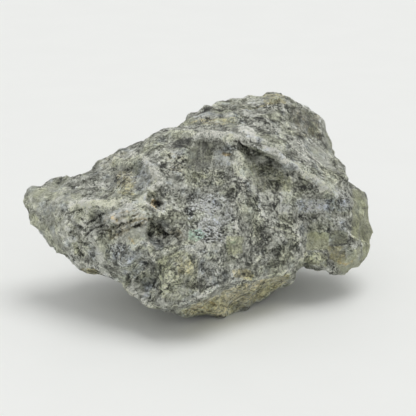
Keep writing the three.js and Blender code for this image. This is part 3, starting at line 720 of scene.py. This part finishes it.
def buildBreakTree():
    names = ("grainSize", "grainDepth", "bladeDepth", "fibreDepth", "footGuard")
    tree, given, result = newGeometryTree("breakSkin", {name: skin[name] for name in names})
    place = vectorMaths(tree, "SCALE", tree.nodes.new("GeometryNodeInputPosition").outputs[0], scale=1000.0)
    bend = addNode(tree, "ShaderNodeTexNoise", {"Vector": place, "Scale": 0.6, "Detail": 3.0})
    bent = vectorMaths(tree, "ADD", place, vectorMaths(tree, "SCALE", bend.outputs["Color"], scale=1.6))
    grain = noiseOf(tree, place, maths(tree, "DIVIDE", 1.0, given.outputs["grainSize"]), 3.0)
    grainHeight = maths(tree, "MULTIPLY", given.outputs["grainDepth"], noiseSpan)
    height = maths(tree, "MULTIPLY", maths(tree, "SUBTRACT", grain, 0.5), grainHeight)
    blades = maths(tree, "SUBTRACT", streaksOf(tree, bent, leanings["right"], 1.5, 4.0), 0.5)
    bladeHeight = maths(tree, "MULTIPLY", given.outputs["bladeDepth"], noiseSpan)
    height = maths(tree, "MULTIPLY_ADD", blades, bladeHeight, height)
    height = maths(tree, "MULTIPLY", height, ramp(tree, markOf(tree, "smooth"), 0.0, 1.0, 1.0, 0.2))
    fibres = maths(tree, "SUBTRACT", streaksOf(tree, bent, skin["fibreWay"], 1.7, 6.0), 0.5)
    fibreHeight = maths(tree, "MULTIPLY", given.outputs["fibreDepth"], noiseSpan)
    fibreHeight = maths(tree, "MULTIPLY", markOf(tree, "layered"), fibreHeight)
    height = maths(tree, "MULTIPLY_ADD", fibres, fibreHeight, height)
    # Painted ridges and cracks come and go along their length.
    come = ramp(tree, noiseOf(tree, place, 0.9, 3.0), 0.35, 0.65, 0.2, 1.5)
    height = maths(tree, "MULTIPLY_ADD", markOf(tree, "lift"), come, height)
    aboveFoot = addNode(tree, "ShaderNodeSeparateXYZ", {0: place}).outputs[2]
    guard = ramp(tree, aboveFoot, 0.0, given.outputs["footGuard"])
    height = maths(tree, "MULTIPLY", maths(tree, "MULTIPLY", height, guard), 0.001)
    offset = vectorMaths(tree, "SCALE", tree.nodes.new("GeometryNodeInputNormal").outputs[0], scale=height)
    moved = addNode(tree, "GeometryNodeSetPosition", {"Geometry": given.outputs["Geometry"], "Offset": offset})
    # How far the skin stands out from its own blurred shape, at three scales, in mm.
    geometry = moved.outputs[0]
    here = tree.nodes.new("GeometryNodeInputPosition").outputs[0]
    normal = tree.nodes.new("GeometryNodeInputNormal").outputs[0]
    for name, rounds in (("edge", 2), ("swell", 14), ("hollow", 60)):
        around = addNode(tree, "GeometryNodeBlurAttribute", {"Iterations": rounds}, data_type="FLOAT_VECTOR")
        tree.links.new(here, openSocket(around.inputs, "Value"))
        apart = vectorMaths(tree, "SUBTRACT", here, openSocket(around.outputs, "Value"))
        rise = maths(tree, "MULTIPLY", vectorMaths(tree, "DOT_PRODUCT", apart, normal), 1000.0)
        stored = {"Geometry": geometry, "Name": name}
        store = addNode(tree, "GeometryNodeStoreNamedAttribute", stored, data_type="FLOAT", domain="POINT")
        tree.links.new(rise, openSocket(store.inputs, "Value"))
        geometry = store.outputs[0]
    whole = addNode(tree, "GeometryNodeRealizeInstances", {"Geometry": geometry})
    coat = {"Geometry": whole.outputs[0], "Material": bpy.data.materials["schist"]}
    tree.links.new(addNode(tree, "GeometryNodeSetMaterial", coat).outputs[0], result.inputs[0])
    return tree


# The rock from its darkest to its lightest grain, in linear light, and the casts that its minerals
# lay over it, which multiply its colour. The first numbers of the rock say where each colour sits.
tints = {
    "rock": [
        (0.0, (0.036, 0.037, 0.033, 1)), (0.19, (0.125, 0.128, 0.108, 1)), (0.38, (0.355, 0.363, 0.31, 1)),
        (0.57, (0.64, 0.65, 0.575, 1)), (0.76, (0.86, 0.87, 0.79, 1)), (1.0, (0.98, 0.98, 0.92, 1)),
    ],
    "greenish": (0.99, 1.0, 0.89, 1),
    "bluish": (0.96, 0.99, 1.08, 1),
    "olive": (0.98, 0.98, 0.80, 1),
    "ochre": (1.09, 1.0, 0.73, 1),
    "rust": (1.22, 0.98, 0.64, 1),
    "umber": (1.13, 1.0, 0.8, 1),
    "blue": (0.95, 0.99, 1.13, 1),
    "silver": (0.99, 1.0, 1.04, 1),
    "mint": (0.84, 1.08, 0.99, 1),
    "pale": (1.05, 1.04, 1.01, 1),
}


# A shader group's inputs are named with their first values; a value of None is a place.
def newShaderGroup(name, inputs, outputs):
    group = bpy.data.node_groups.new(name, "ShaderNodeTree")
    for socketName, value in inputs.items():
        kind = "NodeSocketVector" if value is None else "NodeSocketFloat"
        socket = group.interface.new_socket(socketName, in_out="INPUT", socket_type=kind)
        if value is not None:
            socket.default_value = value
    for socketName in outputs:
        group.interface.new_socket(socketName, in_out="OUTPUT", socket_type="NodeSocketFloat")
    return group, group.nodes.new("NodeGroupInput"), group.nodes.new("NodeGroupOutput")


# A mark with a torn edge, as patches of mineral have.
def buildTornMask():
    inputs = {"Mark": 0.0, "Place": None, "Size": 1.0, "Tear": 0.6}
    group, given, result = newShaderGroup("tornMask", inputs, ["Mask"])
    fineness = maths(group, "DIVIDE", 1.0, given.outputs["Size"])
    at = vectorMaths(group, "SCALE", given.outputs["Place"], scale=fineness)
    swing = maths(group, "SUBTRACT", noiseOf(group, at, 1.0, 5.0, 0.7), 0.5)
    swing = maths(group, "MULTIPLY", swing, given.outputs["Tear"])
    reach = ramp(group, given.outputs["Mark"], 0.0, 0.35, 0.0, 4.0)
    raw = maths(group, "MULTIPLY_ADD", swing, reach, given.outputs["Mark"])
    group.links.new(ramp(group, raw, 0.15, 0.95), result.inputs["Mask"])
    return group


tornMask = buildTornMask()


def tornMark(tree, name, place, size, tear):
    node = addNode(tree, "ShaderNodeGroup", node_tree=tornMask)
    tree.links.new(skinMark(tree, name), node.inputs["Mark"])
    tree.links.new(place, node.inputs["Place"])
    node.inputs["Size"].default_value = size
    node.inputs["Tear"].default_value = tear
    return node.outputs["Mask"]


def skinMark(tree, name):
    return addNode(tree, "ShaderNodeAttribute", attribute_name=name).outputs["Fac"]


# The crystals of the rock, and how far each thing moves its tone from the middle.
crystals = {
    "sizes": ((0.9, 1.0), (2.1, 0.7), (4.6, 0.4)),  # how many to a mm, and how steeply their faces lean
    "mottle": 1.45,
    "weights": (0.14, 0.24, 0.22, 0.2, 0.66),  # bundles of fibres, the three sizes, speckle
    "streaks": 1.25,
    "micaStreaks": 0.5,
}


# What every mineral of the stone shares, from Place in mm: Tone runs from dark to light grain,
# Threads are thin pale lines, Glint is the tone of single flakes, and Facets is the height of small
# flat faces in mm.
def buildRockGrain():
    outputs = ["Tone", "Streaks", "Speckle", "Threads", "Glint", "Facets"]
    group, given, result = newShaderGroup("rockGrain", {"Place": None, "Mica": 0.0}, outputs)
    place = given.outputs["Place"]
    warp = addNode(group, "ShaderNodeTexNoise", {"Vector": place, "Scale": 1.3, "Detail": 3.0})
    bent = vectorMaths(group, "ADD", place, vectorMaths(group, "SCALE", warp.outputs["Color"], scale=0.8))
    mottle = noiseOf(group, bent, 0.65, 5.0, 0.7)
    speckle = noiseOf(group, place, 3.8, 4.0, 0.75)

    # Bundles of fibres: each bundle runs its own way, near the way of the rock's layers, and the
    # flakes of the mica lie level.
    across = addNode(group, "ShaderNodeSeparateXYZ", {0: place}).outputs[0]
    turned = ramp(group, across, leanings["turnFrom"], leanings["turnTo"])
    layers = addNode(group, "ShaderNodeMix", {0: turned}, data_type="VECTOR")
    layers.inputs[4].default_value = leanings["left"]
    layers.inputs[5].default_value = leanings["right"]
    bundles = addNode(group, "ShaderNodeTexVoronoi", {"Vector": bent, "Scale": 0.62}, feature="F1")
    own = vectorMaths(group, "SUBTRACT", bundles.outputs["Color"], (0.5, 0.5, 0.5))
    way = vectorMaths(group, "ADD", layers.outputs[1], vectorMaths(group, "SCALE", own, scale=leanings["spread"]))
    way = vectorMaths(group, "NORMALIZE", way)
    fibres = streaksOf(group, bent, way, 2.9, 6.0, 3.0)
    level = streaksOf(group, bent, leanings["mica"], 2.5, 7.0, 3.0)
    either = {0: given.outputs["Mica"], 2: fibres, 3: level}
    streaks = addNode(group, "ShaderNodeMix", either, data_type="FLOAT").outputs[0]
    fine = streaksOf(group, bent, way, 2.0, 5.0, 2.0)
    threads = ramp(group, maths(group, "ABSOLUTE", maths(group, "SUBTRACT", fine, 0.5)), 0.035, 0.0)

    # Crystals of three sizes: each has one tone, and each face leans its own way.
    tones = []
    facets = None
    for scale, rise in crystals["sizes"]:
        cut = {"Vector": bent, "Scale": scale, "Randomness": 1.0}
        cells = addNode(group, "ShaderNodeTexVoronoi", cut, feature="F1")
        tones.append(addNode(group, "ShaderNodeSeparateColor", {0: cells.outputs["Color"]}).outputs[0])
        lean = vectorMaths(group, "SUBTRACT", cells.outputs["Color"], (0.5, 0.5, 0.5))
        local = vectorMaths(group, "SUBTRACT", bent, cells.outputs["Position"])
        slope = maths(group, "MULTIPLY", vectorMaths(group, "DOT_PRODUCT", lean, local), rise)
        facets = slope if facets is None else maths(group, "ADD", facets, slope)
    bundleTone = addNode(group, "ShaderNodeSeparateColor", {0: bundles.outputs["Color"]}).outputs[1]
    tone = maths(group, "MULTIPLY_ADD", maths(group, "SUBTRACT", mottle, 0.5), crystals["mottle"], 0.5)
    for value, weight in zip([bundleTone] + tones + [speckle], crystals["weights"]):
        tone = maths(group, "MULTIPLY_ADD", maths(group, "SUBTRACT", value, 0.5), weight, tone)
    streakWeight = maths(group, "MULTIPLY_ADD", given.outputs["Mica"], crystals["micaStreaks"], crystals["streaks"])
    tone = maths(group, "MULTIPLY_ADD", maths(group, "SUBTRACT", streaks, 0.5), streakWeight, tone)
    for name, value in zip(outputs, (tone, streaks, speckle, threads, tones[2], facets)):
        group.links.new(value, result.inputs[name])
    return group


rockGrain = buildRockGrain()

# How strongly each thing lightens (above 0) or darkens the rock; 1 would be the whole way.
toneWeights = {
    "pale": 0.64,
    "bruise": 0.22,
    "flecks": 0.24,
    "threads": 0.36,
    # glints are painted highlights on mica flakes, and darkFlecks also carries their painted shade
    "glints": 0.45,
    "darkFlecks": -0.26,
    # dark is painted shade in the cracks
    "dark": -0.5,
    # sunk is painted shade in creases and hollows
    "sunk": -0.3,
    "cracks": -0.38,
}


# How far tones stray from the middle: everywhere, where grains cluster and where the rock is crisp.
contrasts = {"base": 0.86, "clusters": 0.64, "crisp": 0.6, "whereSmooth": 0.4}
toneScale = 0.76  # a tone of 1 lands here on the rock's colours, which leaves room for bright grains
relief = {"facets": 0.8, "speckle": 0.35, "streaks": 0.1, "micaStreaks": 0.35, "strength": 0.9}


def buildSchist():
    material = bpy.data.materials.new("schist")
    material.use_nodes = True
    tree = material.node_tree
    surface = tree.nodes["Principled BSDF"]
    place = vectorMaths(tree, "SCALE", tree.nodes.new("ShaderNodeTexCoord").outputs["Object"], scale=1000.0)
    smooth = skinMark(tree, "smooth")
    crisp = skinMark(tree, "crisp")
    edge = skinMark(tree, "edge")
    swell = skinMark(tree, "swell")
    mica = tornMark(tree, "mica", place, 0.5, 0.9)
    grain = addNode(tree, "ShaderNodeGroup", node_tree=rockGrain)
    tree.links.new(place, grain.inputs["Place"])
    tree.links.new(mica, grain.inputs["Mica"])
    streaks, speckle, threads, glint = (
        grain.outputs[name] for name in ("Streaks", "Speckle", "Threads", "Glint")
    )

    # The tone of the rock: more contrast where it is crisp, less where it is smooth.
    clusters = ramp(tree, noiseOf(tree, place, 0.5, 3.0), 0.44, 0.62)
    contrast = maths(tree, "MULTIPLY_ADD", clusters, contrasts["clusters"], contrasts["base"])
    contrast = maths(tree, "MULTIPLY_ADD", crisp, contrasts["crisp"], contrast)
    contrast = maths(tree, "MULTIPLY", contrast, ramp(tree, smooth, 0.0, 1.0, 1.0, contrasts["whereSmooth"]))
    tone = maths(tree, "MULTIPLY_ADD", maths(tree, "SUBTRACT", grain.outputs["Tone"], 0.5), contrast, 0.5)
    tone = maths(tree, "ADD", tone, maths(tree, "ADD", skinMark(tree, "light"), skinMark(tree, "shade")))
    busy = maths(tree, "MULTIPLY_ADD", crisp, 0.5, maths(tree, "MULTIPLY", clusters, 0.7), clamp=True)
    busy = maths(tree, "MULTIPLY", busy, ramp(tree, smooth, 0.0, 1.0, 1.0, 0.25))
    flecks = maths(tree, "MULTIPLY", ramp(tree, speckle, 0.54, 0.61), busy)
    darkFlecks = maths(tree, "MULTIPLY", ramp(tree, speckle, 0.45, 0.38), busy)
    threads = maths(tree, "MULTIPLY", threads, busy)
    # Painted highlights and painted shade: single mica flakes are painted lighter as glints and darker as
    # glintShadows; the glints also tint the colour silvery and make the surface less rough.
    glints = maths(tree, "MULTIPLY", ramp(tree, glint, 0.68, 0.82), mica)
    glintShadows = maths(tree, "MULTIPLY", ramp(tree, glint, 0.34, 0.2), mica)
    bruise = maths(tree, "ADD", ramp(tree, edge, 0.6, 2.0), ramp(tree, swell, 0.8, 2.2), clamp=True)
    bruise = maths(tree, "MULTIPLY", bruise, ramp(tree, speckle, 0.42, 0.56, 0.2, 1.0))
    paleMark = tornMark(tree, "pale", place, 0.7, 1.3)
    paleMark = maths(tree, "MULTIPLY", paleMark, ramp(tree, speckle, 0.42, 0.56, 0.25, 1.15))
    # Painted shade: the rock is darkened where the skin lies below its blurred shape, in creases and hollows, at three
    # scales.
    paintedCreaseShade = ramp(tree, edge, -0.7, -2.4, 0.0, 0.6)
    sunk = maths(tree, "ADD", paintedCreaseShade, ramp(tree, swell, -0.8, -2.4, 0.0, 0.6), clamp=True)
    sunk = maths(tree, "MAXIMUM", sunk, ramp(tree, skinMark(tree, "hollow"), -0.8, -2.2, 0.0, 0.6))
    cracked = ramp(tree, noiseOf(tree, place, 0.5, 2.0), 0.5, 0.6)
    cracks = maths(tree, "MULTIPLY", ramp(tree, streaks, 0.34, 0.28), cracked)
    for name, value in (
        ("pale", paleMark), ("bruise", bruise), ("flecks", flecks), ("threads", threads), ("glints", glints),
        ("darkFlecks", darkFlecks), ("darkFlecks", glintShadows),
        # dark is painted shade in the cracks
        ("dark", tornMark(tree, "dark", place, 0.6, 0.35)), ("sunk", sunk), ("cracks", cracks),
    ):
        tone = maths(tree, "MULTIPLY_ADD", value, toneWeights[name], tone)

    body = addNode(tree, "ShaderNodeValToRGB", {0: maths(tree, "MULTIPLY", tone, toneScale)})
    stops = body.color_ramp.elements
    stops[0].position, stops[0].color = tints["rock"][0]
    stops[1].position, stops[1].color = tints["rock"][-1]
    for position, colour in tints["rock"][1:-1]:
        stops.new(position).color = colour
    colour = body.outputs[0]

    # Warmer and bluer patches everywhere, and minerals that have places of their own.
    casts = [
        ("greenish", ramp(tree, noiseOf(tree, place, 0.26, 4.0), 0.46, 0.62)),
        ("bluish", ramp(tree, noiseOf(tree, place, 0.37, 4.0), 0.53, 0.66)),
        ("pale", paleMark),
        ("silver", glints),
    ]
    for name, size, tear in (
        ("olive", 1.0, 0.45), ("ochre", 0.8, 0.6), ("blue", 0.7, 0.6), ("umber", 0.7, 0.5),
        ("silver", 0.6, 0.6), ("rust", 0.5, 0.6), ("mint", 0.6, 0.6),
    ):
        casts.append((name, tornMark(tree, name, place, size, tear)))
    for name, mask in casts:
        colour = mix(tree, mask, colour, mix(tree, 1.0, colour, tints[name], "MULTIPLY"))
    tree.links.new(colour, surface.inputs["Base Color"])

    rough = ramp(tree, speckle, 0.3, 0.7, 0.85, 0.6)
    rough = maths(tree, "MULTIPLY_ADD", glints, -0.3, rough)
    rough = maths(tree, "MULTIPLY_ADD", smooth, -0.15, rough)
    tree.links.new(rough, surface.inputs["Roughness"])

    # Low relief in mm: grain, and small faces that each lean their own way.
    height = maths(tree, "MULTIPLY", speckle, relief["speckle"])
    height = maths(tree, "MULTIPLY_ADD", grain.outputs["Facets"], relief["facets"], height)
    streakRise = maths(tree, "MULTIPLY_ADD", mica, relief["micaStreaks"], relief["streaks"])
    height = maths(tree, "MULTIPLY_ADD", streaks, streakRise, height)
    height = maths(tree, "MULTIPLY", height, ramp(tree, smooth, 0.0, 1.0, 1.0, 0.3))
    bump = addNode(tree, "ShaderNodeBump", {"Height": height, "Strength": relief["strength"], "Distance": 0.001})
    tree.links.new(bump.outputs[0], surface.inputs["Normal"])
    return material


buildSchist()
runTree(stone, buildBreakTree(), skin)


# Nothing of the stone reaches below the surface that it stands on.
def keepAbove(piece):
    heights = np.zeros(len(piece.data.vertices) * 3, np.float32)
    piece.data.vertices.foreach_get("co", heights)
    heights[2::3] = np.maximum(heights[2::3], 0)
    piece.data.vertices.foreach_set("co", heights)
    piece.data.update()


# Gives a measure of the skin one common spread, so that 1 is a strong edge or hollow.
def evenOut(piece, name):
    values = np.zeros(len(piece.data.vertices), np.float32)
    piece.data.attributes[name].data.foreach_get("value", values)
    spread = float(np.percentile(np.abs(values), 85))
    piece.data.attributes[name].data.foreach_set("value", values / spread)
    print("spread of", name, round(spread, 4), "mm")


keepAbove(stone)
for name in ("edge", "swell", "hollow"):
    evenOut(stone, name)
print("stone:", sum(len(face.vertices) - 2 for face in stone.data.polygons), "triangles")

# Single grains stand out of the skin, each a small angular plate: where their mark is strong, or
# everywhere by the base share. Sizes are in mm, turns in degrees.
grains = {
    "micaFlakes": {
        "mark": "mica", "base": 0.0, "perSquareMm": 3.0, "size": 0.5, "stretch": 1.4, "thickness": 0.06,
        "tilt": 14.0, "twist": 180.0, "darkest": -0.14, "lightest": 0.22, "seed": 4,
    },
    "paleCrumbs": {
        "mark": "pale", "base": 0.0, "perSquareMm": 5.0, "size": 0.36, "stretch": 1.3, "thickness": 0.16,
        "tilt": 34.0, "twist": 180.0, "darkest": -0.12, "lightest": 0.24, "seed": 9,
    },
    "rockSplinters": {
        "mark": "crisp", "base": 0.16, "perSquareMm": 2.2, "size": 0.85, "stretch": 2.8, "thickness": 0.09,
        "tilt": 7.0, "twist": 40.0, "darkest": -0.13, "lightest": 0.14, "seed": 16,
    },
}


def randomOf(tree, low, high, seed, kind="FLOAT"):
    node = tree.nodes.new("FunctionNodeRandomValue")
    node.data_type = kind
    for name, value in (("Min", low), ("Max", high), ("Seed", seed)):
        socket = openSocket(node.inputs, name)
        if isinstance(value, bpy.types.NodeSocket):
            tree.links.new(value, socket)
        else:
            socket.default_value = value
    return openSocket(node.outputs, "Value")


def buildGrainTree(name, values):
    tree, given, result = newGeometryTree(name, {key: value for key, value in values.items() if key != "mark"})
    share = maths(tree, "MAXIMUM", ramp(tree, markOf(tree, values["mark"]), 0.25, 0.7), given.outputs["base"])
    share = maths(tree, "MULTIPLY", share, ramp(tree, markOf(tree, "smooth"), 0.15, 0.6, 1.0, 0.0))
    density = maths(tree, "MULTIPLY", share, maths(tree, "MULTIPLY", given.outputs["perSquareMm"], 1e6))
    seed = given.outputs["seed"]
    spread = addNode(tree, "GeometryNodeDistributePointsOnFaces", {"Mesh": given.outputs["Geometry"], "Seed": seed})
    tree.links.new(density, openSocket(spread.inputs, "Density"))

    def chance(low, high, turn):
        return randomOf(tree, low, high, maths(tree, "ADD", seed, turn))

    # The long side of a grain follows the layers of the rock, then the grain is tilted and twisted.
    at = tree.nodes.new("GeometryNodeInputPosition").outputs[0]
    across = addNode(tree, "ShaderNodeSeparateXYZ", {0: at}).outputs[0]
    turned = ramp(tree, across, leanings["turnFrom"] / 1000, leanings["turnTo"] / 1000)
    ways = {0: turned, 4: leanings["left"], 5: leanings["right"]}
    layers = addNode(tree, "ShaderNodeMix", ways, data_type="VECTOR").outputs[1]
    lie = {"Rotation": spread.outputs["Rotation"], "Vector": layers}
    lying = addNode(tree, "FunctionNodeAlignRotationToVector", lie, axis="X", pivot_axis="Z")
    tilts = randomOf(tree, (-1, -1, 0), (1, 1, 0), seed, "FLOAT_VECTOR")
    tilts = vectorMaths(tree, "SCALE", tilts, scale=given.outputs["tilt"])
    twists = maths(tree, "MULTIPLY", chance(-1.0, 1.0, 1), given.outputs["twist"])
    turns = vectorMaths(tree, "ADD", tilts, addNode(tree, "ShaderNodeCombineXYZ", {2: twists}).outputs[0])
    turns = addNode(tree, "FunctionNodeEulerToRotation", {0: vectorMaths(tree, "SCALE", turns, scale=math.pi / 180)})
    leaning = {"Rotation": lying.outputs[0], "Rotate By": turns.outputs[0]}
    lean = addNode(tree, "FunctionNodeRotateRotation", leaning, rotation_space="LOCAL")

    length = maths(tree, "MULTIPLY", chance(0.45, 1.3, 2), given.outputs["size"])
    stretch = maths(tree, "MULTIPLY", given.outputs["stretch"], chance(0.7, 1.4, 3))
    width = maths(tree, "DIVIDE", length, stretch)
    thickness = maths(tree, "MULTIPLY", given.outputs["thickness"], chance(0.6, 1.5, 4))
    size = addNode(tree, "ShaderNodeCombineXYZ", {0: length, 1: width, 2: thickness}).outputs[0]
    size = vectorMaths(tree, "SCALE", size, scale=0.001)

    cone = {"Vertices": 6, "Radius Top": 0.33, "Radius Bottom": 0.5, "Depth": 1.0}
    plate = addNode(tree, "GeometryNodeMeshCone", cone, fill_type="NGON")
    sunk = addNode(tree, "GeometryNodeTransform", {"Geometry": plate.outputs["Mesh"], "Translation": (0, 0, -0.45)})
    flat = addNode(tree, "GeometryNodeSetShadeSmooth", {"Geometry": sunk.outputs[0], "Shade Smooth": False})
    placing = {"Points": spread.outputs["Points"], "Instance": flat.outputs[0], "Rotation": lean.outputs[0], "Scale": size}
    placed = addNode(tree, "GeometryNodeInstanceOnPoints", placing)
    stored = {"Geometry": placed.outputs[0], "Name": "shade"}
    shaded = addNode(tree, "GeometryNodeStoreNamedAttribute", stored, data_type="FLOAT", domain="INSTANCE")
    shade = chance(given.outputs["darkest"], given.outputs["lightest"], 5)
    tree.links.new(shade, openSocket(shaded.inputs, "Value"))
    whole = addNode(tree, "GeometryNodeRealizeInstances", {"Geometry": shaded.outputs[0]})
    coat = {"Geometry": whole.outputs[0], "Material": bpy.data.materials["schist"]}
    tree.links.new(addNode(tree, "GeometryNodeSetMaterial", coat).outputs[0], result.inputs[0])
    return tree


def scatterGrains(name, values):
    piece = bpy.data.objects.new(name, stone.data.copy())
    bpy.context.scene.collection.objects.link(piece)
    runTree(piece, buildGrainTree(name, values), values)
    keepAbove(piece)
    print(name + ":", sum(len(face.vertices) - 2 for face in piece.data.polygons), "triangles")
    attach(piece, "root")


for name, values in grains.items():
    scatterGrains(name, values)

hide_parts("emerald_rough")
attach(stone, "root")

studio = {
    "floorColour": (0.86, 0.87, 0.85, 1),
    "backColour": (0.84, 0.85, 0.83, 1),
    "floorHalf": 2.0,  # metres
    "roomLight": 0.6,
    "sunLight": 1.3,
    "sunSpread": 38,  # degrees across
    "sunFrom": (0.27, 0.08, 1.0),
}


def buildFloor():
    half = studio["floorHalf"]
    mesh = bpy.data.meshes.new("paleFloor")
    mesh.from_pydata([(-half, -half, 0), (half, -half, 0), (half, half, 0), (-half, half, 0)], [], [(0, 1, 2, 3)])
    floor = bpy.data.objects.new("paleFloor", mesh)
    bpy.context.scene.collection.objects.link(floor)
    material = bpy.data.materials.new("palePaper")
    material.use_nodes = True
    tree = material.node_tree
    fibre = noiseOf(tree, tree.nodes.new("ShaderNodeTexCoord").outputs["Object"], 60.0, 2.0)
    dimmer = tuple(0.99 * part for part in studio["floorColour"][:3]) + (1,)
    surface = tree.nodes["Principled BSDF"]
    tree.links.new(mix(tree, ramp(tree, fibre, 0.3, 0.7), studio["floorColour"], dimmer), surface.inputs["Base Color"])
    surface.inputs["Roughness"].default_value = 0.7
    mesh.materials.append(material)


def buildLights():
    world = bpy.data.worlds.new("softRoom")
    world.use_nodes = True
    tree = world.node_tree
    room = tree.nodes["Background"]
    room.inputs[0].default_value = (1.0, 1.0, 1.0, 1)
    room.inputs[1].default_value = studio["roomLight"]
    # The camera sees the room in the colour of the lit floor, so that no horizon shows.
    seen = addNode(tree, "ShaderNodeBackground", {0: studio["backColour"], 1: 1.0})
    either = addNode(tree, "ShaderNodeMixShader", {0: tree.nodes.new("ShaderNodeLightPath").outputs["Is Camera Ray"]})
    tree.links.new(room.outputs[0], either.inputs[1])
    tree.links.new(seen.outputs[0], either.inputs[2])
    tree.links.new(either.outputs[0], tree.nodes["World Output"].inputs[0])
    bpy.context.scene.world = world
    light = bpy.data.lights.new("softSun", "SUN")
    light.energy = studio["sunLight"]
    light.angle = math.radians(studio["sunSpread"])
    lamp = bpy.data.objects.new("softSun", light)
    lamp.location = Vector(studio["sunFrom"])
    lamp.rotation_euler = (-Vector(studio["sunFrom"])).to_track_quat("-Z", "Y").to_euler()
    bpy.context.scene.collection.objects.link(lamp)


def buildCamera():
    data = bpy.data.cameras.new("camera")
    data.sensor_width = 36
    data.lens = 36 * sight["distance"] * sight["pixelsPerMetre"] / sight["pictureSide"]
    data.clip_start = 0.01
    camera = bpy.data.objects.new("camera", data)
    camera.location = eye
    camera.rotation_mode = "QUATERNION"
    camera.rotation_quaternion = onwards.to_track_quat("-Z", "Y")
    bpy.context.scene.collection.objects.link(camera)
    bpy.context.scene.camera = camera


buildFloor()
buildLights()
buildCamera()
bpy.context.scene.view_settings.view_transform = "Standard"
print("floor, lights and camera set")
